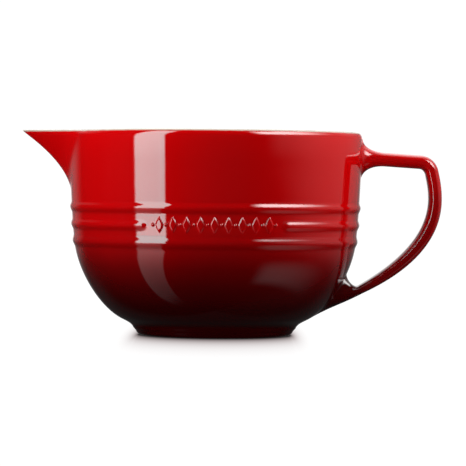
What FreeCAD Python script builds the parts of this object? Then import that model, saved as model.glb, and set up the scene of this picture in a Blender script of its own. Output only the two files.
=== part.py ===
"""Glazed stoneware mixing bowl with a pouring spout, an open loop handle and three raised ribs.

Millimetres. +Z is up, the bowl's axis is Z and the origin is the middle of the foot's resting face.
The spout points along -X, the handle along +X, and the raised band of sprigs is on the front, -Y.
The real bowl is fired as one piece. Each node here is a region that is formed or applied on its own.
"""
import FreeCAD, Part
import math
import os

V = FreeCAD.Vector
ORIGIN = V(0, 0, 0)
UP = V(0, 0, 1)

# Whole bowl
HEIGHT = 127.0
RIM_RADIUS = 92.0            # outer radius just under the rounded lip
WALL = 5.4                   # thickness of the wall at the rim
LIP_HEIGHT = 2.7             # height of the rounded lip
LIP_INSET = 2.2              # how far each side of the lip is rounded in at its top
LIP_BASE = HEIGHT - LIP_HEIGHT
GLAZE = 0.5                  # thickness of the inside glaze

# Outside of the bowl: the foot, the round belly and the nearly upright wall
FOOT_HEIGHT = 4.5
FOOT_RADIUS = 50.7           # where the foot meets the bowl
FOOT_REST = (40.5, 45.0)     # inner and outer radius of the flat resting face
FOOT_INNER = 38.0            # inner radius of the foot, at its top
BELLY_START = (58.4, 10.2)
BELLY_POLES = [BELLY_START, (72.0, 17.3), (85.9, 39.3), (88.0, 58.0)]
SHOULDER_Z = 58.0
WALL_RADII = [88.0, 90.6, 90.5, RIM_RADIUS]     # Bezier radii at even heights, shoulder to lip

# Inside of the bowl
FLOOR_Z = 10.4
FLOOR_RADIUS = 22.0
COVE_POLES = [(FLOOR_RADIUS, FLOOR_Z), (36.0, FLOOR_Z), (47.6, 10.8), (55.6, 14.9)]
BOWL_POLES = [(55.6, 14.9), (68.0, 21.3), (80.5, 41.4), (82.8, 58.6)]
INNER_RADII = [82.8, 85.2, 85.1, RIM_RADIUS - WALL]

# Pouring spout
SPOUT_FOOT_Z = 88.0          # height where the spout starts to leave the wall
SPOUT_REACH = 30.0           # how far its tip stands out of the rim's circle
SPOUT_RISE = 1.81            # power of the curve that its underside follows
SPOUT_ANGLE = 24.0           # half angle, in degrees, that it takes out of the rim
SPOUT_TIP_ANGLE = 2.4        # rounding of the tip, in degrees
SPOUT_SIDE = 2.3             # above 1, its sides are hollow
CHANNEL_FOOT_Z = 90.0
CHANNEL_REACH = 26.0
CHANNEL_RISE = 1.75
SECTOR_ANGLE = 30.0          # half angle of the window in the wall that the spout fills

# Ribs: (height of the crest, how far it stands out)
RIBS = {"rib_upper": (80.2, 1.0), "rib_middle": (69.6, 1.05), "rib_lower": (59.0, 1.0)}
RIB_HALF_HEIGHT = 4.3
SPRIG_GAP_ANGLE = 29.5       # the middle rib stops this far either side of the front

# Raised sprigs between the ends of the middle rib
SPRIG_HEIGHT = 10.6
SPRIG_WIDTH = 5.6
SPRIG_COUNT = 9
SPRIG_PITCH = 5.4            # degrees round the bowl
BEAD_RADIUS = 1.35
SPRIG_RELIEF = 0.9

# Handle: a strap whose middle line runs out from the wall, round a tight corner and down to the belly
ARM_ROOT = (106.0, 110.4)
ARM_END = (127.4, 109.05)
CORNER = (133.4, 108.75)
CORNER_END = (134.75, 102.75)
BACK_POLES = [CORNER_END, (136.1, 96.9), (137.0, 92.0), (137.0, 86.0)]
SWEEP_POLES = [(137.0, 86.0), (137.0, 58.2), (111.35, 35.75), (66.5, 16.0)]
STRAP_THICK = 8.7
SWEEP_THICK = [STRAP_THICK, 9.2, 8.6, 5.4]      # Bezier thickness down the sweep
STRAP_WIDTH = 21.0
STRAP_WIDTH_LOW = 22.5
LOW_ROOT_SHARE = 0.72        # where along the lower sweep the lower root begins
LOW_ROOT_END = (57.5, 13.0)  # middle of the strap's end inside the belly
ROOT_X = 90.5                # where the upper root has its full flare
ROOT_END_X = 89.1            # where it ends inside the wall
ROOT_POWER = 3.2             # how suddenly it flares
ROOT_RISE_TOP = 9.0          # rise of its curve towards the rim
ROOT_RISE_BOTTOM = 7.5
ROOT_SPREAD = 5.0            # how much wider it gets on each side


def bezier(poles, share):
    """Point at a share, 0 to 1, of the Bezier curve with these poles."""
    points = [tuple(p) for p in poles]
    while len(points) > 1:
        points = [tuple(a + (b - a) * share for a, b in zip(p, q)) for p, q in zip(points, points[1:])]
    return points[0]


def wall_radius(radii, z):
    """Radius of the upright wall at a height above the shoulder."""
    share = (z - SHOULDER_Z) / (LIP_BASE - SHOULDER_Z)
    return bezier([(r,) for r in radii], min(share, 1.0))[0]


def wall_poles(radii, first_z=SHOULDER_Z):
    """Poles of the upright wall's curve in the XZ plane, at even heights."""
    return [(r, first_z + (LIP_BASE - first_z) * i / 3.0) for i, r in enumerate(radii)]


def curve(poles):
    edge = Part.BezierCurve()
    edge.setPoles([V(r, 0, z) for r, z in poles])
    return edge.toShape()


def line(a, b):
    return Part.makeLine(V(a[0], 0, a[1]), V(b[0], 0, b[1]))


def quarter(start, corner, end):
    """Quarter of an ellipse from start to end, bulging towards the corner."""
    k = 0.5523
    near = [tuple(a + (c - a) * k for a, c in zip(p, corner)) for p in (start, end)]
    return curve([start, near[0], near[1], end])


def revolve(edges):
    """Solid of revolution about the bowl's axis of a closed outline in the XZ plane, with its seam at +Y."""
    solid = Part.Face(Part.Wire(edges)).revolve(ORIGIN, UP, 360.0)
    solid.rotate(ORIGIN, UP, 90.0)
    return solid


def sector(half_angle, middle, low, high):
    """Wedge about the axis: half_angle either side of the middle direction, in degrees."""
    wedge = Part.makeCylinder(200.0, high - low, V(0, 0, low), UP, 2.0 * half_angle)
    wedge.rotate(ORIGIN, UP, middle - half_angle)
    return wedge


def outside_edges():
    """Outside of the bowl, from the top of the foot to the top of the lip."""
    return [
        curve([(FOOT_RADIUS, FOOT_HEIGHT), (51.6, 6.8), (53.6, 7.9), BELLY_START]),
        curve(BELLY_POLES),
        curve(wall_poles(WALL_RADII)),
        quarter((RIM_RADIUS, LIP_BASE), (RIM_RADIUS, HEIGHT), (RIM_RADIUS - LIP_INSET, HEIGHT)),
    ]


def inside_edges(inset):
    """Inside of the bowl, from the lip down to the axis, moved in by inset from the clay."""
    def moved(poles, steps):
        return [(r - inset * out, z + inset * up) for (r, z), (out, up) in zip(poles, steps)]

    upright = moved(wall_poles(INNER_RADII, BOWL_POLES[-1][1]), [(1, 0)] * 4)
    round_part = moved(BOWL_POLES, [(0.46, 0.89), (0.5, 0.87), (0.95, 0.1), (1, 0)])
    cove = moved(COVE_POLES, [(0, 1), (0, 1), (0.46, 0.89), (0.46, 0.89)])
    return [
        curve(upright[::-1]),
        curve(round_part[::-1]),
        curve(cove[::-1]),
        line((FLOOR_RADIUS, FLOOR_Z + inset), (0, FLOOR_Z + inset)),
    ]


def envelope():
    """The bowl without its hollow, which everything on the outside is trimmed to."""
    return revolve(outside_edges() + [
        line((RIM_RADIUS - LIP_INSET, HEIGHT), (0, HEIGHT)),
        line((0, HEIGHT), (0, FOOT_HEIGHT)),
        line((0, FOOT_HEIGHT), (FOOT_RADIUS, FOOT_HEIGHT)),
    ])


def cavity(inset):
    """The hollow of the bowl up to the base of the lip, moved in by inset."""
    top = RIM_RADIUS - WALL - inset
    return revolve(inside_edges(inset) + [
        line((0, FLOOR_Z + inset), (0, LIP_BASE)),
        line((0, LIP_BASE), (top, LIP_BASE)),
    ])


def spout_window():
    return sector(SECTOR_ANGLE, 180.0, SPOUT_FOOT_Z, HEIGHT + 5.0)


def bowl_wall():
    """Clay of the bowl: base, belly, upright wall and rounded lip, with the spout's window cut out."""
    inner_top = RIM_RADIUS - WALL
    body = revolve(outside_edges() + [
        line((RIM_RADIUS - LIP_INSET, HEIGHT), (inner_top + LIP_INSET, HEIGHT)),
        quarter((inner_top + LIP_INSET, HEIGHT), (inner_top, HEIGHT), (inner_top, LIP_BASE)),
    ] + inside_edges(0.0) + [
        line((0, FLOOR_Z), (0, FOOT_HEIGHT)),
        line((0, FOOT_HEIGHT), (FOOT_RADIUS, FOOT_HEIGHT)),
    ])
    return body.cut(spout_window())


def foot_ring():
    """Short foot: flat unglazed resting face, rounded outer edge, hollow underside."""
    inner_rest, outer_rest = FOOT_REST
    edge = (49.3, 3.0)
    return revolve([
        line((inner_rest, 0), (outer_rest, 0)),
        curve([(outer_rest, 0), (47.6, 0), (48.6, 1.4), edge]),
        line(edge, (FOOT_RADIUS, FOOT_HEIGHT)),
        line((FOOT_RADIUS, FOOT_HEIGHT), (FOOT_INNER, FOOT_HEIGHT)),
        quarter((FOOT_INNER, FOOT_HEIGHT), (FOOT_INNER, 0), (inner_rest, 0)),
    ])


def swell(angle, z):
    """How much of the spout's reach there is at an angle from its middle, 1 at the tip, 0 off the spout."""
    rise = (z - SPOUT_FOOT_Z) / (HEIGHT - SPOUT_FOOT_Z)
    half = SPOUT_ANGLE * (0.2 + 0.8 * rise)
    blend = 0.12 + 0.5 * (1.0 - rise)
    turned = math.hypot(angle, SPOUT_TIP_ANGLE) - SPOUT_TIP_ANGLE
    left = 1.0 - turned / half
    if left <= -blend:
        return 0.0
    if left < blend:
        left = (left + blend) ** 2 / (4.0 * blend)
    return left ** SPOUT_SIDE


def reach(z, foot_z, full, power):
    """How far the spout's middle stands out of the wall at a height."""
    return full * max(0.0, (z - foot_z) / (HEIGHT - foot_z)) ** power


def lip_inset(z, full):
    """How far the lip is rounded in at a height."""
    share = max(0.0, (z - LIP_BASE) / LIP_HEIGHT)
    return full * (1.0 - math.sqrt(max(0.0, 1.0 - share * share)))


def spout_outside(angle, z):
    share = swell(angle, z)
    out = wall_radius(WALL_RADII, z) + share * reach(z, SPOUT_FOOT_Z, SPOUT_REACH, SPOUT_RISE)
    return out - lip_inset(z, LIP_INSET - 1.5 * share)


def spout_inside(angle, z):
    share = swell(angle, z)
    out = wall_radius(INNER_RADII, z) + share * reach(z, CHANNEL_FOOT_Z, CHANNEL_REACH, CHANNEL_RISE)
    return out + lip_inset(z, LIP_INSET)


def round_the_spout(radius, z, inset):
    """Curve at one height across the spout's sector."""
    steps = 48
    points = []
    for i in range(steps + 1):
        angle = SECTOR_ANGLE * (2.0 * i / steps - 1.0)
        turn = math.radians(180.0 + angle)
        r = radius(angle, z) - inset
        points.append(V(r * math.cos(turn), r * math.sin(turn), z))
    spline = Part.BSplineCurve()
    spline.interpolate(points)
    return spline.toShape(), points[0], points[-1]


def spout_shell(outer, inner, inner_inset, heights):
    """Solid across the spout's sector between two curved faces, lofted through level slices."""
    slices = []
    for z in heights:
        outside, out_start, out_end = round_the_spout(outer, z, 0.0)
        inside, in_start, in_end = round_the_spout(inner, z, inner_inset)
        slices.append(Part.Wire([
            outside, Part.makeLine(out_end, in_end), inside, Part.makeLine(in_start, out_start),
        ]))
    return Part.makeLoft(slices, True, False)


def spout_heights():
    steps = 9
    return [SPOUT_FOOT_Z + (LIP_BASE - SPOUT_FOOT_Z) * i / steps for i in range(steps + 1)]


def pour_spout():
    """Pulled spout: a beak with hollow sides that narrows down to a keel on the wall."""
    below = spout_shell(spout_outside, spout_inside, 0.0, spout_heights())
    lip_levels = [LIP_BASE + LIP_HEIGHT * math.sin(math.radians(a)) for a in (0, 25, 50, 70, 90)]
    lip = spout_shell(spout_outside, spout_inside, 0.0, lip_levels)
    return below.fuse(lip).removeSplitter()


def interior_glaze():
    """Pale glaze that lines the whole inside but for the spout's channel."""
    return cavity(0.0).cut(cavity(GLAZE)).cut(spout_window())


def channel_glaze():
    """Pale glaze that lines the spout's channel."""
    return spout_shell(spout_inside, spout_inside, GLAZE, spout_heights())


def rib(name):
    """Raised rib with a rounded section, all round the bowl."""
    crest_z, relief = RIBS[name]
    low, high = crest_z - RIB_HALF_HEIGHT, crest_z + RIB_HALF_HEIGHT
    radii = [wall_radius(WALL_RADII, max(z, SHOULDER_Z)) for z in (low, crest_z, high)]
    arc = Part.Arc(V(radii[0], 0, low), V(radii[1] + relief, 0, crest_z), V(radii[2], 0, high))
    back = 80.0
    ring = revolve([
        arc.toShape(),
        line((radii[2], high), (back, high)),
        line((back, high), (back, low)),
        line((back, low), (radii[0], low)),
    ])
    return ring.cut(envelope())


def rib_middle():
    gap = sector(SPRIG_GAP_ANGLE, -90.0, 0.0, HEIGHT)
    return rib("rib_middle").cut(gap)


def relief_shell():
    """Thin layer outside the wall at the height of the sprigs."""
    z = RIBS["rib_middle"][0]
    half = 0.6 * SPRIG_HEIGHT
    low, high = z - half, z + half
    low_r, high_r = (wall_radius(WALL_RADII, level) + SPRIG_RELIEF for level in (low, high))
    back = 80.0
    layer = revolve([
        line((low_r, low), (high_r, high)),
        line((high_r, high), (back, high)),
        line((back, high), (back, low)),
        line((back, low), (low_r, low)),
    ])
    return layer.cut(envelope())


def sprig_angles(count):
    return [SPRIG_PITCH * (i - (count - 1) / 2.0) for i in range(count)]


def turned_to(shape, angle):
    shape.rotate(ORIGIN, UP, angle)
    return shape


def relief_lozenges():
    """Tall raised diamonds, evenly spaced round the front."""
    z = RIBS["rib_middle"][0]
    corners = [(0, z - SPRIG_HEIGHT / 2), (SPRIG_WIDTH / 2, z), (0, z + SPRIG_HEIGHT / 2), (-SPRIG_WIDTH / 2, z)]
    outline = Part.makePolygon([V(x, -80, h) for x, h in corners + corners[:1]])
    layer = relief_shell()
    diamonds = []
    for angle in sprig_angles(SPRIG_COUNT):
        block = Part.Face(outline).extrude(V(0, -20, 0))
        diamonds.append(layer.common(turned_to(block, angle)))
    return Part.makeCompound([solid for shape in diamonds for solid in shape.Solids])


def relief_beads():
    """Round raised dots between and beside the diamonds."""
    z = RIBS["rib_middle"][0]
    layer = relief_shell()
    beads = []
    for angle in sprig_angles(SPRIG_COUNT + 1):
        post = Part.makeCylinder(BEAD_RADIUS, 20.0, V(0, -80, z), V(0, -1, 0))
        beads.append(layer.common(turned_to(post, angle)))
    return Part.makeCompound([solid for shape in beads for solid in shape.Solids])


def strap_section(point, heading, thick, width):
    """Rounded section of the strap across its middle line, which heads this way in degrees."""
    side = V(0, 1, 0)
    across = V(-math.sin(math.radians(heading)), 0, math.cos(math.radians(heading)))
    middle = V(point[0], 0, point[1])
    power = 0.72                 # 1 gives an ellipse, lower gives a fuller section
    points = []
    for i in range(24):
        turn = 2.0 * math.pi * i / 24
        c, s = math.cos(turn), math.sin(turn)
        y = math.copysign(abs(c) ** power, c) * width / 2.0
        n = math.copysign(abs(s) ** power, s) * thick / 2.0
        points.append(middle + side * y + across * n)
    spline = Part.BSplineCurve()
    spline.interpolate(points, PeriodicFlag=True)
    return Part.Wire([spline.toShape()])


def heading_of(poles, share):
    step = 0.001
    a = bezier(poles, max(0.0, share - step))
    b = bezier(poles, min(1.0, share + step))
    return math.degrees(math.atan2(b[1] - a[1], b[0] - a[0]))


def sections_along(poles, shares, thick, width):
    """Sections at these shares of a curve. thick and width are (at the start, at the end)."""
    made = []
    for share in shares:
        t = thick[0] + (thick[1] - thick[0]) * share
        w = width[0] + (width[1] - width[0]) * share
        made.append(strap_section(bezier(poles, share), heading_of(poles, share), t, w))
    return made


def sweep_sections(first, last, steps):
    """Sections down the lower sweep, between two shares of it."""
    made = []
    for i in range(steps + 1):
        share = first + (last - first) * i / steps
        thick = bezier([(t,) for t in SWEEP_THICK], share)[0]
        width = STRAP_WIDTH + (STRAP_WIDTH_LOW - STRAP_WIDTH) * share
        made.append(strap_section(bezier(SWEEP_POLES, share), heading_of(SWEEP_POLES, share), thick, width))
    return made


def handle_arm():
    """Level arm from the upper root to the end of the tight corner."""
    k = 0.6
    corner = [ARM_END] + [tuple(a + (c - a) * k for a, c in zip(p, CORNER)) for p in (ARM_END, CORNER_END)]
    corner.append(CORNER_END)
    thick, width = (STRAP_THICK, STRAP_THICK), (STRAP_WIDTH, STRAP_WIDTH)
    straight = [ARM_ROOT, tuple((a + b) / 2.0 for a, b in zip(ARM_ROOT, ARM_END)), ARM_END]
    level = sections_along(straight, [0.0, 0.3, 0.65], thick, width)
    turn = sections_along(corner, [0.0, 0.2, 0.4, 0.6, 0.8, 1.0], thick, width)
    return Part.makeLoft(level + turn, True, False)


def handle_grip():
    """Back of the handle, where the hand goes round it."""
    thick, width = (STRAP_THICK, STRAP_THICK), (STRAP_WIDTH, STRAP_WIDTH)
    back = sections_along(BACK_POLES, [0.0, 0.5], thick, width)
    return Part.makeLoft(back + sweep_sections(0.0, LOW_ROOT_SHARE, 7), True, False)


def handle_root_upper():
    """Flared joint where the arm leaves the wall under the rim. Its flare goes on inside the wall."""
    sections = []
    steps = 6
    for i in range(steps + 1):
        x = ARM_ROOT[0] + (ROOT_END_X - ARM_ROOT[0]) * i / steps
        flare = ((ARM_ROOT[0] - x) / (ARM_ROOT[0] - ROOT_X)) ** ROOT_POWER
        top = ARM_ROOT[1] + STRAP_THICK / 2.0 + ROOT_RISE_TOP * flare
        bottom = ARM_ROOT[1] - STRAP_THICK / 2.0 - ROOT_RISE_BOTTOM * flare
        width = STRAP_WIDTH + 2.0 * ROOT_SPREAD * flare
        tilt = heading_of([ARM_ROOT, ARM_END], 0.5) * max(0.0, 1.0 - flare)
        sections.append(strap_section((x, (top + bottom) / 2.0), tilt, top - bottom, width))
    return Part.makeLoft(sections, True, False).cut(envelope())


def handle_root_lower():
    """Joint where the strap runs into the belly. It goes on inside the wall."""
    sections = sweep_sections(LOW_ROOT_SHARE, 1.0, 4)
    sections.append(strap_section(LOW_ROOT_END, heading_of(SWEEP_POLES, 1.0) + 4.0, SWEEP_THICK[-1], STRAP_WIDTH_LOW))
    return Part.makeLoft(sections, True, False).cut(envelope())


NODES = {
    "bowl_wall": bowl_wall,
    "foot_ring": foot_ring,
    "interior_glaze": interior_glaze,
    "channel_glaze": channel_glaze,
    "pour_spout": pour_spout,
    "rib_upper": lambda: rib("rib_upper"),
    "rib_middle": rib_middle,
    "rib_lower": lambda: rib("rib_lower"),
    "relief_lozenges": relief_lozenges,
    "relief_beads": relief_beads,
    "handle_root_upper": handle_root_upper,
    "handle_arm": handle_arm,
    "handle_grip": handle_grip,
    "handle_root_lower": handle_root_lower,
}

os.makedirs("parts", exist_ok=True)
for name, make in NODES.items():
    shape = make()
    shape.exportStep("parts/" + name + ".step")
    box = shape.BoundBox
    print("%-18s %8.1f mm3  %d solids  valid %s  x %.1f..%.1f  y %.1f..%.1f  z %.1f..%.1f" % (
        name, shape.Volume, len(shape.Solids), shape.isValid(),
        box.XMin, box.XMax, box.YMin, box.YMax, box.ZMin, box.ZMax))
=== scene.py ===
import math
import bpy
import numpy as np
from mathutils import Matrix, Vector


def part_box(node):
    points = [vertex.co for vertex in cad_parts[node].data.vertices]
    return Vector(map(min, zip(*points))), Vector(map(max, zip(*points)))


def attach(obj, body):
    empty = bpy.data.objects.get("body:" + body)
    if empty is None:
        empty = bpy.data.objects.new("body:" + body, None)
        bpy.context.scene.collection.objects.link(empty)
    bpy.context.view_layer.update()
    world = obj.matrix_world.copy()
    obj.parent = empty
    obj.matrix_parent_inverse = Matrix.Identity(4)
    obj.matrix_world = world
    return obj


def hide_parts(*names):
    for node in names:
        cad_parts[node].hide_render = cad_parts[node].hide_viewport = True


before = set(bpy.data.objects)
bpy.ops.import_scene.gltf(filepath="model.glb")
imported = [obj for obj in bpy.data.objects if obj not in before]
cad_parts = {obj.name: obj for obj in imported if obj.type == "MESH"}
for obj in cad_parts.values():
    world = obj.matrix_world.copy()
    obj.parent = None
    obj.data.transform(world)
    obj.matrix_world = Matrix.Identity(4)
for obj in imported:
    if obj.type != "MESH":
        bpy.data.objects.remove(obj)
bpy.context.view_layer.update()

# ---------------------------------------------------------------------------------------------
# Sizes in millimetres, from the frame where it has them. MM turns them into Blender's metres.
# ---------------------------------------------------------------------------------------------
MM = 0.001


def node_box(node):
    low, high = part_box(node)
    return np.array(low) / MM, np.array(high) / MM


RIBS = ("rib_upper", "rib_middle", "rib_lower")
wall_high = node_box("bowl_wall")[1]
foot_high = node_box("foot_ring")[1]
rib_low = {name: node_box(name)[0] for name in RIBS}
rib_high = {name: node_box(name)[1] for name in RIBS}
sprig_low, sprig_high = node_box("relief_lozenges")

HEIGHT = wall_high[2]
RIM_RADIUS = wall_high[1]
WALL = 5.4
LIP_HEIGHT = 2.7
LIP_INSET = 2.0              # how far the lip is rounded in on its inner side
LIP_BASE = HEIGHT - LIP_HEIGHT
ROUND_START = HEIGHT - 4.8   # the outside rounds over into the lip from here
ROUND_INSET = 2.4            # by this much
SPOUT_KEEPS = 0.68           # the spout's edge is rounded over less, by this share at its tip
TURN_IN_START = 108.0        # and bends in very slightly from here
TURN_IN = 0.0019
SHRINK = 0.03                # the visible skin stays this far inside the CAD solids
GLAZE = 0.5                  # thickness of the pale glaze
REST_ROWS = 5                # rows of the mesh on the resting face
LINING_BACK = 0.6            # the back of the lining is this deep in the clay

FOOT_HEIGHT = foot_high[2]
FOOT_RADIUS = foot_high[1]
FOOT_REST = (40.5, 45.0)     # inner and outer radius of the resting face
FOOT_EDGE = (49.3, 3.0)      # (radius, height) where its rounded edge ends
FOOT_INNER = 38.0
UNDER_RADIUS = 34.0          # the hollow's roof is nearly flat out to here
UNDER_DOME = 0.6
AXIS_RADIUS = 0.6            # profiles stop this far from the axis, and a fan closes them
BELLY_START = (58.4, 10.2)
SHOULDER_Z = 58.0            # the belly turns into the upright wall here
WALL_RADII = (88.0, 90.6, 90.5, RIM_RADIUS)
BELLY_POLES = (BELLY_START, (72.0, 17.3), (85.9, 39.3), (WALL_RADII[0], SHOULDER_Z))
FLOOR_Z = 10.4
FLOOR_RADIUS = 22.0
COVE_POLES = ((FLOOR_RADIUS, FLOOR_Z), (36.0, FLOOR_Z), (47.6, 10.8), (55.6, 14.9))
BOWL_POLES = (COVE_POLES[3], (68.0, 21.3), (80.5, 41.4), (82.8, 58.6))
INNER_RADII = (BOWL_POLES[3][0], 85.2, 85.1, RIM_RADIUS - WALL)

SPOUT_FOOT_Z = node_box("pour_spout")[0][2]
SPOUT_REACH = 30.0
SPOUT_RISE = 1.81            # power of the curve of the spout's keel
SPOUT_ANGLE = 24.0           # half the angle that it takes up at the rim
SPOUT_TIP_ANGLE = 2.4        # and half the angle of its blunt tip
SPOUT_SIDE = 2.3             # above 1, its sides are hollow
CHANNEL_FOOT_Z = 90.0
CHANNEL_REACH = 26.0
CHANNEL_RISE = 1.75

RIB_RELIEF = 1.0
RIB_DROP = 0.3               # the crest sits this far under the middle of the rib
RIB_ABOVE = {"rib_upper": 3.3, "rib_middle": 3.4, "rib_lower": 4.2}     # its height above the crest
RIB_GAP_ANGLE = 29.5
DARK_BAND_BELOW = 3.0             # the glaze is darker in a band this far under a crest
DARK_BAND_HALF = 1.6
SPRIG_COUNT = 9
SPRIG_PITCH = 5.4            # degrees
SPRIG_RELIEF = 0.85
SPRIG_SUNK = 0.3             # the foot of a sprig is this deep in the wall
DIAMOND = (2.8, 5.3)         # half width and half height
DOT = (1.35, 1.35)

# Handle, as points (x, z)
ARM_ROOT = (106.0, 110.4)
ARM_END = (127.4, 109.05)
CORNER = (133.4, 108.75)
CORNER_END = (134.75, 102.75)
CORNER_PULL = 0.6            # 1 pulls the corner's curve right into CORNER
BACK_POLES = (CORNER_END, (136.1, 96.9), (137.0, 92.0), (137.0, 86.0))
SWEEP_POLES = (BACK_POLES[3], (137.0, 58.2), (111.35, 35.75), (66.0, 18.2))
STRAP_THICK = 8.65
SWEEP_THICK = (STRAP_THICK, 9.2, 8.6, 3.0)
STRAP_WIDTH = 20.8
STRAP_POWER = 0.74           # 1 gives the strap an oval section, lower a fuller one
ROOT_POWER = 0.86            # the same for the outline of each root
LOW_ROOT_SHARE = 0.80        # the strap ends this far along its sweep, and the lower root starts
UPPER_ROOT = (16.0, 12.6, 13.6)         # half width, and height above and below ROOT_Z
ROOT_Z = 110.6
LOWER_ROOT = (11.6, 0.30, 0.35)         # half width, and share of the belly above and below its middle
LOWER_ROOT_MIDDLE = 0.375
ROOT_STEPS = 34


# ---------------------------------------------------------------------------------------------
# Camera
# ---------------------------------------------------------------------------------------------
def make_camera():
    """Long lens, level, looking along +Y from above the middle of the bowl."""
    distance, aim_x, height, roll = 1.78, 0.01084, 0.092, 0.50
    view_width = 0.29125         # width of the view at the bowl's axis
    view_middle_z = 0.06375
    camera = bpy.data.objects.new("camera", bpy.data.cameras.new("camera"))
    bpy.context.scene.collection.objects.link(camera)
    camera.data.sensor_width = 36.0
    camera.data.lens = camera.data.sensor_width * distance / view_width
    camera.data.shift_y = (view_middle_z - height) / view_width
    camera.data.clip_start, camera.data.clip_end = 0.1, 60.0
    camera.location = (aim_x, -distance, height)
    camera.rotation_euler = (math.radians(90.0), 0.0, 0.0)
    camera.rotation_euler.rotate_axis("Z", math.radians(roll))
    bpy.context.scene.camera = camera


# ---------------------------------------------------------------------------------------------
# Shape of the bowl
# ---------------------------------------------------------------------------------------------
def bezier(poles, share):
    """Points on the Bezier curve with these poles. share is a number or an array."""
    share = np.asarray(share, float)[..., None]
    points = [np.asarray(p, float) for p in poles]
    while len(points) > 1:
        points = [p + (q - p) * share for p, q in zip(points, points[1:])]
    return points[0]


def wall_radius(radii, z):
    share = np.clip((z - SHOULDER_Z) / (LIP_BASE - SHOULDER_Z), 0.0, 1.0)
    return bezier([(r,) for r in radii], share)[..., 0]


def swell(angle, z):
    """Share of the spout's reach at an angle from its middle, 1 at the tip and 0 off the spout."""
    rise = np.clip((z - SPOUT_FOOT_Z) / (HEIGHT - SPOUT_FOOT_Z), 0.0, 1.0)
    half = SPOUT_ANGLE * (0.2 + 0.8 * rise)
    blend = 0.12 + 0.5 * (1.0 - rise)
    left = 1.0 - (np.hypot(angle, SPOUT_TIP_ANGLE) - SPOUT_TIP_ANGLE) / half
    soft = np.clip(left + blend, 0.0, None) ** 2 / (4.0 * blend)
    return np.where(left < blend, soft, left) ** SPOUT_SIDE


def reach(z, foot_z, full, power):
    return full * np.clip((z - foot_z) / (HEIGHT - foot_z), 0.0, None) ** power


def from_spout(turn):
    """Angle in degrees from the spout's middle, -180 to 180, of a turn about the axis in radians."""
    return (np.degrees(turn) - 180.0 + 180.0) % 360.0 - 180.0


def from_front(turn):
    return (np.degrees(turn) + 90.0 + 180.0) % 360.0 - 180.0


def rib_crest(name):
    return (rib_low[name][2] + rib_high[name][2]) / 2.0 - RIB_DROP


def rib_gap(name, turn):
    """Distance in mm past the end of a rib, into its gap at the front. 0 on the rib."""
    if name != "rib_middle":
        return np.zeros_like(turn)
    return np.radians(np.clip(RIB_GAP_ANGLE - np.abs(from_front(turn)), 0.0, None)) * RIM_RADIUS


def rib_bump(turn, z):
    """How far the ribs stand out, in mm. A rib falls away faster above its crest, and its ends are round."""
    total = np.zeros(np.broadcast(turn, z).shape)
    for name in rib_low:
        rise = z - rib_crest(name)
        half = np.where(rise > 0.0, RIB_ABOVE[name], rib_crest(name) - rib_low[name][2])
        off = np.clip(np.hypot(rise, rib_gap(name, turn)) / half, 0.0, 1.0)
        total = total + RIB_RELIEF * np.cos(off * math.pi / 2.0) ** 2
    return total


def under_rib_darkening(turn, z):
    """Share of the darker band of glaze under each rib."""
    total = np.zeros(np.broadcast(turn, z).shape)
    for name in rib_low:
        off = (z - rib_crest(name) + DARK_BAND_BELOW) / DARK_BAND_HALF
        total = total + np.exp(-off ** 2 - (rib_gap(name, turn) / 2.0) ** 2)
    return total


def round_over(z, spout_share):
    """How far the outside is drawn in near the top, where it rounds over into the lip."""
    share = np.clip((z - ROUND_START) / (HEIGHT - ROUND_START), 0.0, 1.0)
    bend = TURN_IN * np.clip(z - TURN_IN_START, 0.0, None) ** 2
    inset = ROUND_INSET * (1.0 - np.sqrt(1.0 - share ** 2)) + bend
    return inset * (1.0 - SPOUT_KEEPS * spout_share ** 8)


def column_turns():
    """Turns about the axis of the mesh's columns, closer together on the spout."""
    spout = np.radians(180.0 + np.linspace(-30.0, 30.0, 121))
    rest = np.radians(210.0 + np.linspace(0.0, 300.0, 241))[1:-1]
    return np.concatenate([spout, rest])


def outside_profile():
    """(radius, height) up the outside, from the resting face to where it rounds over into the lip."""
    rest = [(r, 0.0) for r in np.linspace(FOOT_REST[0], FOOT_REST[1], REST_ROWS)]
    foot = bezier([(FOOT_REST[1], 0), (47.6, 0), (48.6, 1.4), FOOT_EDGE], np.linspace(0, 1, 9)[1:])
    side = bezier([FOOT_EDGE, (FOOT_RADIUS, FOOT_HEIGHT)], np.linspace(0, 1, 3)[1:])
    fillet = bezier([(FOOT_RADIUS, FOOT_HEIGHT), (51.6, 6.8), (53.6, 7.9), BELLY_START],
                    np.linspace(0, 1, 10)[1:])
    belly = bezier(BELLY_POLES, np.linspace(0, 1, 44)[1:])
    ribbed = np.linspace(SHOULDER_Z, rib_high["rib_upper"][2] + 2.0, 50)[1:]
    plain = np.linspace(ribbed[-1], ROUND_START, 31)[1:]
    heights = np.concatenate([ribbed, plain])
    wall = np.stack([wall_radius(WALL_RADII, heights), heights], 1)
    return np.concatenate([rest, foot, side, fillet, belly, wall])


def underside_profile():
    """From the axis out to the inner edge of the resting face."""
    disc = [(r, FOOT_HEIGHT + UNDER_DOME * (1.0 - (r / UNDER_RADIUS) ** 2))
            for r in np.linspace(AXIS_RADIUS, UNDER_RADIUS, 12)]
    cove = bezier([(UNDER_RADIUS, FOOT_HEIGHT), (FOOT_INNER + 0.5, FOOT_HEIGHT), (FOOT_INNER + 0.5, 0.0),
                   (FOOT_REST[0], 0.0)], np.linspace(0, 1, 10)[1:-1])
    return np.concatenate([disc, cove])


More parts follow.
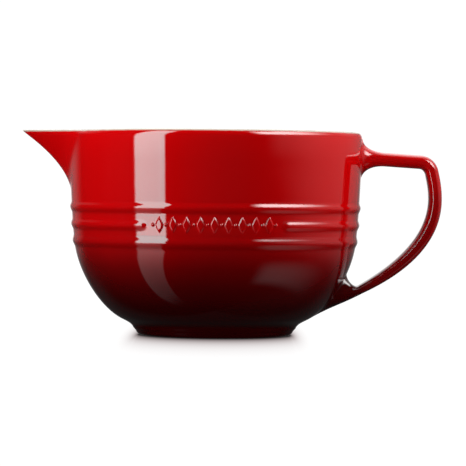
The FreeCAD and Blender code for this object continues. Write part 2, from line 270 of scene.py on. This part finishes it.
def inside_profile(inset):
    """Down the inside, from the base of the lip to the axis, moved in by inset."""
    def moved(poles, steps):
        return [(r - inset * out, z + inset * up) for (r, z), (out, up) in zip(poles, steps)]

    heights = np.linspace(LIP_BASE, BOWL_POLES[3][1], 26)
    wall = np.stack([inside_radius(heights) - inset, heights], 1)
    bowl = bezier(moved(BOWL_POLES, [(0.46, 0.89), (0.5, 0.87), (0.95, 0.1), (1, 0)])[::-1],
                  np.linspace(0, 1, 20)[1:])
    cove = bezier(moved(COVE_POLES, [(0, 1), (0, 1), (0.46, 0.89), (0.46, 0.89)])[::-1],
                  np.linspace(0, 1, 12)[1:])
    floor = [(r, FLOOR_Z + inset) for r in np.linspace(FLOOR_RADIUS, AXIS_RADIUS, 8)[1:]]
    return np.concatenate([wall, bowl, cove, floor])


def inside_radius(z):
    first = BOWL_POLES[3][1]
    share = np.clip((z - first) / (LIP_BASE - first), 0.0, 1.0)
    return bezier([(r,) for r in INNER_RADII], share)[..., 0]


def place(radius, turn, z):
    return np.stack(np.broadcast_arrays(radius * np.cos(turn), radius * np.sin(turn), z), -1)


def outside_points(profile, turns):
    """Rows of points on the outside: the profile with the ribs and the spout on it."""
    radius, z = profile[:, 0][:, None], profile[:, 1][:, None]
    slope = np.gradient(profile, axis=0)
    length = np.hypot(slope[:, 0], slope[:, 1])[:, None]
    out, up = slope[:, 1][:, None] / length, -slope[:, 0][:, None] / length
    turn = turns[None, :]
    bump = rib_bump(turn, z) - SHRINK
    angle = from_spout(turn)
    share = swell(angle, z)
    spout = share * reach(z, SPOUT_FOOT_Z, SPOUT_REACH, SPOUT_RISE) - round_over(z, share)
    return place(radius + bump * out + spout, turn, z + np.clip(z, 0, 1) * bump * up)


def lip_points(turns):
    """Rows over the rounded lip, from its outer side to its inner side."""
    turn = turns[None, :]
    angle = from_spout(turn)
    rows = []
    for share_up in np.sin(np.radians(np.linspace(0.0, 90.0, 17)))[1:]:
        z = np.full((1, 1), ROUND_START + (HEIGHT - ROUND_START) * share_up)
        share = swell(angle, z)
        radius = wall_radius(WALL_RADII, z) + share * reach(z, SPOUT_FOOT_Z, SPOUT_REACH, SPOUT_RISE)
        rows.append(place(radius - SHRINK - round_over(z, share), turn, z - SHRINK * share_up))
    steps = np.radians(np.linspace(90.0, 0.0, 10))
    for share_up, inset in zip(np.sin(steps), 1.0 - np.cos(steps)):
        z = np.full((1, 1), LIP_BASE + LIP_HEIGHT * share_up)
        share = swell(angle, z)
        radius = inside_radius(z) + share * reach(z, CHANNEL_FOOT_Z, CHANNEL_REACH, CHANNEL_RISE)
        rows.append(place(radius + SHRINK + inset * LIP_INSET, turn, z - SHRINK * share_up))
    return np.concatenate(rows)


def inside_points(profile, turns):
    radius, z = profile[:, 0][:, None], profile[:, 1][:, None]
    turn = turns[None, :]
    spout = swell(from_spout(turn), z) * reach(z, CHANNEL_FOOT_Z, CHANNEL_REACH, CHANNEL_RISE)
    return place(radius + spout, turn, z)


# ---------------------------------------------------------------------------------------------
# Meshes
# ---------------------------------------------------------------------------------------------
def make_mesh(name, points, faces, materials, face_material=None, sharp=()):
    """Smooth-shaded object from points in millimetres."""
    mesh = bpy.data.meshes.new(name)
    mesh.from_pydata((np.asarray(points) * MM).tolist(), [], faces)
    for material in materials:
        mesh.materials.append(material)
    mesh.polygons.foreach_set("use_smooth", [True] * len(mesh.polygons))
    if face_material is not None:
        mesh.polygons.foreach_set("material_index", face_material)
    if sharp:
        edge_is_sharp = [tuple(sorted(e.vertices)) in sharp for e in mesh.edges]
        mesh.attributes.new("sharp_edge", "BOOLEAN", "EDGE").data.foreach_set("value", edge_is_sharp)
    mesh.update()
    piece = bpy.data.objects.new(name, mesh)
    bpy.context.scene.collection.objects.link(piece)
    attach(piece, "root")
    return piece


def tube_faces(rows, columns):
    """Quads between rings of points, with a fan at each end."""
    faces = []
    for i in range(rows - 1):
        a, b = i * columns, (i + 1) * columns
        faces += [(a + j, a + (j + 1) % columns, b + (j + 1) % columns, b + j) for j in range(columns)]
    first, last, end = rows * columns, rows * columns + 1, (rows - 1) * columns
    faces += [(first, (j + 1) % columns, j) for j in range(columns)]
    faces += [(last, end + j, end + (j + 1) % columns) for j in range(columns)]
    return faces


def closed_rings(rings):
    """(points, faces) of a closed mesh through rings of points, with a middle point at each end."""
    rings = np.asarray(rings)
    rows, columns = rings.shape[:2]
    ends = np.stack([rings[0].mean(0), rings[-1].mean(0)])
    return np.concatenate([rings.reshape(-1, 3), ends]), tube_faces(rows, columns)


def bowl_body(glaze, clay):
    """The clay and its red glaze: underside, foot, belly, ribbed wall, lip and inside, as one skin.

    Two attributes of its points colour it: one darkens the glaze in a band under each rib, and inner, which
    is 1 from the crest of the lip inwards, where the edge is pale down to the lining."""
    turns = column_turns()
    under = underside_profile()
    under_rows = place(under[:, 0][:, None], turns[None, :], under[:, 1][:, None])
    outside = outside_points(outside_profile(), turns)
    lip = lip_points(turns)
    inside = inside_points(inside_profile(0.0), turns)[1:]
    rings = np.concatenate([under_rows, outside, lip, inside])
    points, faces = closed_rings(rings)
    columns = len(turns)
    bare = (len(under_rows) + REST_ROWS - 1) * columns
    material = [1 if f[0] < bare and len(f) == 4 else 0 for f in faces]
    first_fan = (len(rings) - 1) * columns
    material[first_fan:first_fan + columns] = [1] * columns
    piece = make_mesh("bowl_body", points, faces, [glaze, clay], material)
    turn, height = np.arctan2(points[:, 1], points[:, 0]), points[:, 2]
    under_rib_dark = piece.data.attributes.new("under_rib_dark", "FLOAT", "POINT")
    under_rib_dark.data.foreach_set("value", under_rib_darkening(turn, height))
    crest = len(under_rows) + len(outside) + len(lip) // 2
    inner = piece.data.attributes.new("inner", "FLOAT", "POINT")
    inner.data.foreach_set("value", (np.arange(len(points)) >= crest * columns).astype(float))
    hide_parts("bowl_wall", "foot_ring", "pour_spout", "rib_upper", "rib_middle", "rib_lower")
    return piece


def lining(glaze):
    """Pale glaze inside, a thin coat up to the lip. Its back is buried in the clay."""
    turns = column_turns()
    front = inside_points(inside_profile(GLAZE - 0.05), turns)
    back = inside_points(inside_profile(-LINING_BACK), turns)[::-1]
    points, faces = closed_rings(np.concatenate([back, front]))
    piece = make_mesh("inside_lining", points, faces, [glaze])
    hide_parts("interior_glaze", "channel_glaze")
    return piece


# ---------------------------------------------------------------------------------------------
# Handle
# ---------------------------------------------------------------------------------------------
def oval(turn, power):
    """Point (across, up) at a turn on an oval of half size 1. A power below 1 makes it fuller."""
    c, s = np.cos(turn), np.sin(turn)
    return np.sign(c) * np.abs(c) ** power, np.sign(s) * np.abs(s) ** power


def strap_turns(count=112):
    """Turns that put the points at even steps round the strap's section."""
    turn = np.linspace(0.0, 2.0 * math.pi, 8001)
    y, n = oval(turn, STRAP_POWER)
    steps = np.hypot(np.diff(y) * STRAP_WIDTH, np.diff(n) * STRAP_THICK)
    length = np.concatenate([[0.0], np.cumsum(steps)])
    return np.interp(np.linspace(0.0, length[-1], count, endpoint=False), length, turn)


def section(middle, heading, thick, turns):
    """Ring of points across the strap. heading is the unit (x, z) direction of its middle line."""
    y, n = oval(turns, STRAP_POWER)
    y, n = y * STRAP_WIDTH / 2.0, n * thick / 2.0
    across = np.array([-heading[1], 0.0, heading[0]])
    return np.array([middle[0], 0.0, middle[1]]) + np.outer(y, [0, 1, 0]) + np.outer(n, across)


def handle_line():
    """(middle, heading, thickness) at even steps along the strap, from the upper root to the lower one."""
    samples, rings, smooth = 400, 220, 7
    inner = [np.array(p) + (np.array(CORNER) - np.array(p)) * CORNER_PULL for p in (ARM_END, CORNER_END)]
    corner = [ARM_END, *inner, CORNER_END]
    share = np.linspace(0.0, 1.0, samples)
    low_share = share * LOW_ROOT_SHARE
    parts = [bezier(poles, share)[:-1] for poles in ([ARM_ROOT, ARM_END], corner, BACK_POLES)]
    parts.append(bezier(SWEEP_POLES, low_share))
    line = np.concatenate(parts)
    thick = np.full(len(line), STRAP_THICK)
    thick[-samples:] = bezier([(t,) for t in SWEEP_THICK], low_share)[:, 0]
    length = np.concatenate([[0.0], np.cumsum(np.linalg.norm(np.diff(line, axis=0), axis=1))])
    even = np.linspace(0.0, length[-1], rings)
    line = np.stack([np.interp(even, length, line[:, 0]), np.interp(even, length, line[:, 1])], 1)
    heading = np.gradient(line, axis=0)
    mean, pad = np.ones(smooth) / smooth, smooth // 2
    padded = np.concatenate([np.repeat(heading[:1], pad, 0), heading, np.repeat(heading[-1:], pad, 0)])
    heading = np.stack([np.convolve(padded[:, i], mean, "valid") for i in (0, 1)], 1)
    heading /= np.linalg.norm(heading, axis=1)[:, None]
    return line, heading, np.interp(even, length, thick)


def upper_print(scale, turns):
    """Outline of the upper root on the wall, scaled about its middle."""
    across, up = oval(turns, ROOT_POWER)
    half_width, above, below = UPPER_ROOT
    y = scale * half_width * across
    z = ROOT_Z + scale * np.where(up > 0.0, above, below) * up
    radius = wall_radius(WALL_RADII, z) - SHRINK
    return np.stack([np.sqrt(radius ** 2 - y ** 2), y, z], 1)


def lower_print(scale, turns):
    """Outline of the lower root on the belly. Its top is a little narrower than its foot."""
    across, down = oval(turns, ROOT_POWER)
    up = -down
    half_width, above, below = LOWER_ROOT
    y = scale * (half_width - 0.4 * up) * across
    profile = bezier(BELLY_POLES, LOWER_ROOT_MIDDLE + scale * np.where(up > 0.0, above, below) * up)
    radius = profile[:, 0] - SHRINK
    return np.stack([np.sqrt(radius ** 2 - y ** 2), y, profile[:, 1]], 1)


def root_rings(ring, heading, outline, turns, pulls):
    """Rings of a fillet from a ring of the strap to an outline that lies on the bowl.

    Each point goes on along the strap, then turns to run out on the bowl's surface at a tangent. pulls
    are how strongly it does each."""
    wall = outline(1.0, turns)
    away = outline(1.02, turns) - wall
    away /= np.linalg.norm(away, axis=1)[:, None]
    gap = wall - ring
    size = np.linalg.norm(gap, axis=1)[:, None]
    along = np.maximum(np.abs(gap @ heading)[:, None], 0.8 * size) * pulls[0]
    side = np.abs((gap * away).sum(1))[:, None] * pulls[1]
    poles = [ring, ring + heading * along, wall - away * side, wall]
    return [bezier(poles, share) for share in np.linspace(0.0, 1.0, ROOT_STEPS)[1:]]


def handle(glaze):
    """The strap and both its roots, as one skin. Its ends are buried in the bowl's wall."""
    turns = strap_turns()
    line, heading, thick = handle_line()
    rings = [section(m, h, t, turns) for m, h, t in zip(line, heading, thick)]
    first_heading = -np.array([heading[0][0], 0.0, heading[0][1]])
    last_heading = np.array([heading[-1][0], 0.0, heading[-1][1]])
    upper = root_rings(rings[0], first_heading, upper_print, turns, (0.62, 0.62))[::-1]
    side_pull = np.interp(np.sin(turns), [-1.0, 0.0, 1.0], [0.8, 0.4, 0.45])[:, None]
    lower = root_rings(rings[-1], last_heading, lower_print, turns, (0.45, side_pull))
    inside_upper = upper[0] - np.array([2.5, 0.0, 0.0])
    inside_lower = lower[-1] - np.array([2.0, 0.0, -2.0])
    rings = [inside_upper] + upper + rings + lower + [inside_lower]
    points, faces = closed_rings(rings)
    columns = len(turns)
    sharp = set()
    for row in (1, len(rings) - 2):
        start = row * columns
        sharp |= {tuple(sorted((start + j, start + (j + 1) % columns))) for j in range(columns)}
    piece = make_mesh("handle", points, faces, [glaze], sharp=sharp)
    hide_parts("handle_root_upper", "handle_arm", "handle_grip", "handle_root_lower")
    return piece


# ---------------------------------------------------------------------------------------------
# Sprigs
# ---------------------------------------------------------------------------------------------
def sprig(turn_deg, half_size, edge):
    """Rings of one raised sprig on the wall, from its foot in the wall to its middle.

    It is domed over a band as wide as edge inside its outline, with a flat inside that."""
    half_width, half_height = half_size
    middle_z = (sprig_low[2] + sprig_high[2]) / 2.0
    count, steps = 40, 10
    turn = np.linspace(0.0, 2.0 * math.pi, count, endpoint=False)
    x, z = oval(turn, 1.6 if half_height > half_width else 1.0)
    rings = []
    for share in np.linspace(0.0, 1.0, steps):
        rise = SPRIG_RELIEF * math.sin(share * math.pi / 2.0) - 0.04 if share > 0.0 else -SPRIG_SUNK
        width = half_width - edge * share
        height = middle_z + (half_height - edge * share * half_height / half_width) * z
        radius = wall_radius(WALL_RADII, height) + rise
        angle = math.radians(-90.0 + turn_deg) + width * x / radius
        rings.append(np.stack([radius * np.cos(angle), radius * np.sin(angle), height], 1))
    return rings


def sprigs(name, node, count, half_size, edge, glaze):
    """A row of sprigs, centred on the front."""
    points, faces = [], []
    for i in range(count):
        turn = SPRIG_PITCH * (i - (count - 1) / 2.0)
        p, f = closed_rings(sprig(turn, half_size, edge))
        start = sum(len(q) for q in points)
        points.append(p)
        faces += [tuple(start + v for v in face) for face in f]
    piece = make_mesh(name, np.concatenate(points), faces, [glaze])
    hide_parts(node)
    return piece


# ---------------------------------------------------------------------------------------------
# Materials
# ---------------------------------------------------------------------------------------------
class Graph:
    """Short way to build nodes."""

    def __init__(self, tree):
        self.tree = tree

    def link(self, source, target):
        self.tree.links.new(source, target)

    def feed(self, socket, value):
        """Set a socket to a number or a colour, or link it to another socket."""
        if isinstance(value, (int, float)):
            socket.default_value = value
        elif isinstance(value, tuple):
            socket.default_value = (*value, 1.0)
        else:
            self.link(value, socket)

    def math(self, kind, a, b=0.0, clamp=False):
        node = self.tree.nodes.new("ShaderNodeMath")
        node.operation = kind
        node.use_clamp = clamp
        self.feed(node.inputs[0], a)
        self.feed(node.inputs[1], b)
        return node.outputs[0]

    def add(self, *values):
        total = values[0]
        for value in values[1:]:
            total = self.math("ADD", total, value)
        return total

    def times(self, *values):
        total = values[0]
        for value in values[1:]:
            total = self.math("MULTIPLY", total, value)
        return total

    def between(self, value, low, high, to_low=0.0, to_high=1.0):
        """to_low at low, to_high at high, smooth between. low may be above high."""
        if low > high:
            low, high, to_low, to_high = high, low, to_high, to_low
        node = self.tree.nodes.new("ShaderNodeMapRange")
        node.interpolation_type = "SMOOTHSTEP"
        self.link(value, node.inputs["Value"])
        for name, number in (("From Min", low), ("From Max", high), ("To Min", to_low), ("To Max", to_high)):
            node.inputs[name].default_value = number
        return node.outputs["Result"]

    def mix(self, share, a, b, kind="RGBA"):
        node = self.tree.nodes.new("ShaderNodeMix")
        node.data_type = kind
        inputs = [s for s in node.inputs if s.enabled]
        for socket, value in zip(inputs, (share, a, b)):
            self.feed(socket, value)
        return [s for s in node.outputs if s.enabled][0]


class Surface(Graph):
    """A material with a Principled shader."""

    def __init__(self, name):
        self.material = bpy.data.materials.new(name)
        self.material.use_nodes = True
        super().__init__(self.material.node_tree)
        self.shader = self.tree.nodes["Principled BSDF"]
        self.place = self.tree.nodes.new("ShaderNodeTexCoord").outputs["Object"]
        split = self.tree.nodes.new("ShaderNodeSeparateXYZ")
        self.link(self.place, split.inputs[0])
        self.x, _, self.z = split.outputs

    def set(self, **values):
        for name, value in values.items():
            self.shader.inputs[name].default_value = value

    def attribute(self, name):
        node = self.tree.nodes.new("ShaderNodeAttribute")
        node.attribute_name = name
        return node.outputs["Fac"]

    def noise(self, scale, detail=2.0, rough=0.5):
        node = self.tree.nodes.new("ShaderNodeTexNoise")
        for name, number in (("Scale", scale), ("Detail", detail), ("Roughness", rough)):
            node.inputs[name].default_value = number
        self.link(self.place, node.inputs["Vector"])
        return node.outputs["Fac"]

    def ramp(self, value, stops):
        node = self.tree.nodes.new("ShaderNodeValToRGB")
        band = node.color_ramp
        while len(band.elements) < len(stops):
            band.elements.new(0.5)
        for element, (place, color) in zip(band.elements, stops):
            element.position = place
            element.color = (*color, 1.0)
        self.link(value, node.inputs["Fac"])
        return node.outputs["Color"]

    def bump(self, height, distance, strength=1.0):
        node = self.tree.nodes.new("ShaderNodeBump")
        node.inputs["Strength"].default_value = strength
        node.inputs["Distance"].default_value = distance
        self.link(height, node.inputs["Height"])
        self.link(node.outputs["Normal"], self.shader.inputs["Normal"])


def red_glaze(name="red_glaze", handle=False):
    """Cherry red that deepens to a near-black maroon towards the foot, and thins to cream on the lip.

    Down the handle it darkens more slowly than down the bowl. The ramp is by share of the height."""
    n = Surface(name)
    drift = n.times(n.math("SUBTRACT", n.noise(18.0, 3.0), 0.5), 0.006)
    height = n.add(n.z, drift)
    if handle:
        slow = n.add(n.times(n.z, 0.3), 0.0347)
        share = n.times(n.between(n.x, 0.085, 0.100), n.between(n.z, 0.108, 0.084))
        height = n.mix(share, height, slow, "FLOAT")
    level = n.math("DIVIDE", height, HEIGHT * MM, clamp=True)
    color = n.ramp(level, [
        (0.00, (0.022, 0.0004, 0.0008)),
        (0.06, (0.029, 0.0004, 0.0008)),
        (0.15, (0.038, 0.0004, 0.0008)),
        (0.25, (0.074, 0.0004, 0.0010)),
        (0.34, (0.138, 0.0004, 0.0010)),
        (0.41, (0.240, 0.0004, 0.0012)),
        (0.46, (0.345, 0.0004, 0.0012)),
        (0.54, (0.490, 0.0005, 0.0013)),
        (0.66, (0.525, 0.0005, 0.0014)),
        (0.86, (0.572, 0.0006, 0.0015)),
        (0.96, (0.635, 0.0006, 0.0016)),
        (1.00, (0.640, 0.0006, 0.0016)),
    ])
    # Darker band of glaze under each rib
    color = n.mix(n.times(n.attribute("under_rib_dark"), 0.28), color, (0.02, 0.0, 0.0))
    wobble = n.times(n.math("SUBTRACT", n.noise(140.0, 2.0), 0.5), 0.0005)
    edge = n.between(n.add(n.z, wobble), (HEIGHT - 1.35) * MM, (HEIGHT - 0.55) * MM)
    edge = n.math("MAXIMUM", edge, n.attribute("inner"))
    n.link(n.mix(edge, color, (0.62, 0.55, 0.46)), n.shader.inputs["Base Color"])
    # The foot stands in the dark of its own shadow, so it reflects little
    n.link(n.between(n.z, 0.005, 0.016, 0.06, 0.5), n.shader.inputs["Specular IOR Level"])
    n.set(Roughness=0.045, IOR=1.52)
    n.bump(n.noise(55.0, 2.0), 0.00012, 0.3)
    return n.material


def cream_glaze():
    """Warm off-white, with fine iron specks under the gloss."""
    n = Surface("cream_glaze")
    base = n.mix(n.noise(30.0, 3.0), (0.74, 0.69, 0.58), (0.80, 0.755, 0.65))
    specks = n.between(n.noise(900.0, 1.0), 0.72, 0.78)
    n.link(n.mix(n.times(specks, 0.5), base, (0.42, 0.33, 0.22)), n.shader.inputs["Base Color"])
    n.set(Roughness=0.07, IOR=1.5)
    n.bump(n.noise(60.0, 2.0), 0.0001, 0.3)
    return n.material


def bare_clay():
    """Unglazed stoneware of the resting face and the underside: buff, matte, fine grain."""
    n = Surface("bare_clay")
    grain = n.noise(1400.0, 4.0, 0.6)
    base = n.mix(n.noise(60.0, 3.0), (0.46, 0.37, 0.27), (0.58, 0.48, 0.36))
    n.link(n.mix(n.between(grain, 0.62, 0.75), base, (0.25, 0.18, 0.12)), n.shader.inputs["Base Color"])
    n.set(Roughness=0.85)
    n.bump(grain, 0.0002, 0.6)
    return n.material


# ---------------------------------------------------------------------------------------------
# Studio
# ---------------------------------------------------------------------------------------------
WHITE = 1.05                 # background and floor, bright enough to stay white
SHADOW_EDGE = 0.0475         # the floor's shadow starts at this radius
SHADOW_FADE = (0.0034, 0.060)           # and fades over this far sideways, and to front and back
# The painted shadow is tinted pink, as painted red light thrown back from the bowl
SHADOW_TINT = (1.0, 0.82, 0.83)
STRIP_TINT = (0.5, 1.0, 1.0)            # the tall strip of light is cool


def studio_floor():
    """White floor that glows evenly, with a painted soft shadow of the foot drawn out to the front and back.
    """
    size = 30.0
    mesh = bpy.data.meshes.new("floor")
    corners = [(-size, -size, 0), (size, -size, 0), (size, size, 0), (-size, size, 0)]
    mesh.from_pydata(corners, [], [(0, 1, 2, 3)])
    material = bpy.data.materials.new("floor")
    material.use_nodes = True
    g = Graph(material.node_tree)
    g.tree.nodes.clear()
    split = g.tree.nodes.new("ShaderNodeSeparateXYZ")
    g.link(g.tree.nodes.new("ShaderNodeTexCoord").outputs["Object"], split.inputs[0])
    x, y, _ = split.outputs
    # Painted shadow of the foot: the floor's glow is dimmed near it
    x = g.math("ABSOLUTE", x)
    beside = g.math("MAXIMUM", g.math("SUBTRACT", x, SHADOW_EDGE), 0.0)
    edge = g.math("SUBTRACT", SHADOW_EDGE ** 2, g.times(x, x))
    edge = g.math("SQRT", g.math("MAXIMUM", edge, 0.0))
    before = g.math("MAXIMUM", g.math("SUBTRACT", g.math("ABSOLUTE", y), edge), 0.0)
    away = g.times(beside, 1.0 / SHADOW_FADE[0])
    along = g.times(before, 1.0 / SHADOW_FADE[1])
    fade = g.math("SQRT", g.add(g.times(away, away), g.times(along, along)))
    dark = g.math("EXPONENT", g.times(fade, -1.0))
    light = g.tree.nodes.new("ShaderNodeEmission")
    g.link(g.mix(dark, (1.0, 1.0, 1.0), SHADOW_TINT), light.inputs["Color"])
    g.link(g.math("SUBTRACT", WHITE, g.times(dark, WHITE - 0.02)), light.inputs["Strength"])
    out = g.tree.nodes.new("ShaderNodeOutputMaterial")
    g.link(light.outputs[0], out.inputs["Surface"])
    mesh.materials.append(material)
    floor = bpy.data.objects.new("floor", mesh)
    bpy.context.scene.collection.objects.link(floor)
    floor.visible_glossy = False
    floor.visible_diffuse = False


def glossy_light(g, left, lift):
    """What the glaze reflects, by bearing and lift in degrees, and where the tall strip's tint goes."""
    right = g.times(left, -1.0)
    behind = g.math("ABSOLUTE", left)

    # A tall strip of light at the left, and its image in the table, which leans and fades
    lean = g.times(g.math("MAXIMUM", g.math("SUBTRACT", -16.0, lift), 0.0), 0.47)
    across = g.math("SUBTRACT", left, lean)
    strip_mask = g.times(g.between(across, 39.0, 40.5), g.between(across, 67.0, 64.5),
                         g.between(lift, 58.0, 50.0))
    direct = g.add(g.between(lift, -22.0, -12.0, 0.0, 6.9), g.between(lift, -5.0, 0.0, 0.0, 1.7))
    mirrored = g.math("EXPONENT", g.math("MINIMUM", g.math("DIVIDE", g.add(lift, 22.0), 19.0), 0.0))
    mirrored = g.times(mirrored, g.between(lift, -74.0, -58.0, 0.0, 1.45))
    strip = g.times(strip_mask, g.add(direct, mirrored))
    tint = g.times(strip_mask, g.between(lift, -14.0, -6.0))

    # A pale screen at the right, brighter above the table, and a soft box high over it
    side = g.between(behind, 150.0, 130.0)
    low = g.times(g.between(right, 46.0, 84.0, 0.0, 0.25), g.between(lift, -26.0, -3.0, 0.03, 1.0), side)
    upper = g.times(g.between(lift, -5.0, 1.0, 0.0, 0.32), g.between(right, 37.0, 54.0),
                    g.between(right, 140.0, 50.0))
    high = g.times(g.between(lift, 16.0, 32.0, 0.0, 14.0), g.between(lift, 60.0, 50.0))
    high = g.times(high, g.between(right, 30.0, 44.0), g.between(right, 118.0, 60.0))
    # The soft box's glow on the table
    slant = g.add(lift, g.times(g.add(right, -60.0), -0.15))
    glow = g.times(g.between(right, 38.0, 56.0, 0.0, 0.38), g.between(right, 125.0, 62.0))
    glow = g.times(glow, g.between(slant, -27.0, -40.0), g.between(slant, -55.0, -46.0))

    # The wall behind, its white backdrop at a grazing angle, a light high behind, and the dim room
    wall = g.times(g.between(behind, 130.0, 150.0), g.between(lift, -14.0, -1.0, 0.022, 0.20))
    white = g.times(g.between(behind, 160.0, 175.0), g.between(lift, -6.0, 0.0))
    back_high = g.times(g.between(behind, 100.0, 150.0, 0.0, 1.2), g.between(lift, 8.0, 40.0))
    room = g.between(lift, -34.0, -20.0, 0.004, 0.012)
    return g.add(strip, low, upper, high, glow, wall, white, back_high, room), tint


def diffuse_light(g, left, lift):
    """Light that fills the colour: mostly from both sides, with some from the front and from behind."""
    right = g.times(left, -1.0)
    behind = g.math("ABSOLUTE", left)
    at_left = g.times(g.between(left, 56.0, 76.0, 0.0, 4.4), g.between(left, 112.0, 84.0))
    at_right = g.times(g.between(right, 72.0, 100.0, 0.0, 5.5), g.between(right, 130.0, 108.0))
    at_front = g.between(behind, 32.0, 14.0, 0.0, 1.5)
    at_back = g.between(behind, 150.0, 166.0, 0.0, 2.0)
    level = g.add(at_left, at_right, at_front, at_back)
    return g.times(level, g.between(lift, -50.0, 0.0, 0.26, 1.0))


def studio_world():
    """White to the camera. Glossy and diffuse rays each get their own light."""
    world = bpy.data.worlds.new("studio")
    bpy.context.scene.world = world
    world.use_nodes = True
    g = Graph(world.node_tree)
    g.tree.nodes.clear()
    split = g.tree.nodes.new("ShaderNodeSeparateXYZ")
    g.link(g.tree.nodes.new("ShaderNodeTexCoord").outputs["Generated"], split.inputs[0])
    x, y, z = split.outputs
    # Bearing: 0 towards the front (-Y), positive to the left (-X), 180 behind
    left = g.math("DEGREES", g.math("ARCTAN2", g.times(x, -1.0), g.times(y, -1.0)))
    lift = g.math("DEGREES", g.math("ARCSINE", z))
    path = g.tree.nodes.new("ShaderNodeLightPath")
    glossy, tint = glossy_light(g, left, lift)
    level = g.mix(path.outputs["Is Glossy Ray"], diffuse_light(g, left, lift), glossy, "FLOAT")
    level = g.mix(path.outputs["Is Camera Ray"], level, WHITE, "FLOAT")
    background = g.tree.nodes.new("ShaderNodeBackground")
    tint = g.times(tint, path.outputs["Is Glossy Ray"])
    g.link(g.mix(tint, (1.0, 1.0, 1.0), STRIP_TINT), background.inputs["Color"])
    g.link(level, background.inputs["Strength"])
    out = g.tree.nodes.new("ShaderNodeOutputWorld")
    g.link(background.outputs[0], out.inputs["Surface"])


def build():
    make_camera()
    red, cream, clay = red_glaze(), cream_glaze(), bare_clay()
    bowl_body(red, clay)
    lining(cream)
    handle(red_glaze("red_glaze_handle", handle=True))
    sprigs("sprig_diamonds", "relief_lozenges", SPRIG_COUNT, DIAMOND, 1.3, red)
    sprigs("sprig_dots", "relief_beads", SPRIG_COUNT + 1, DOT, 1.2, red)
    studio_floor()
    studio_world()
    bpy.context.scene.view_settings.view_transform = "Standard"


build()
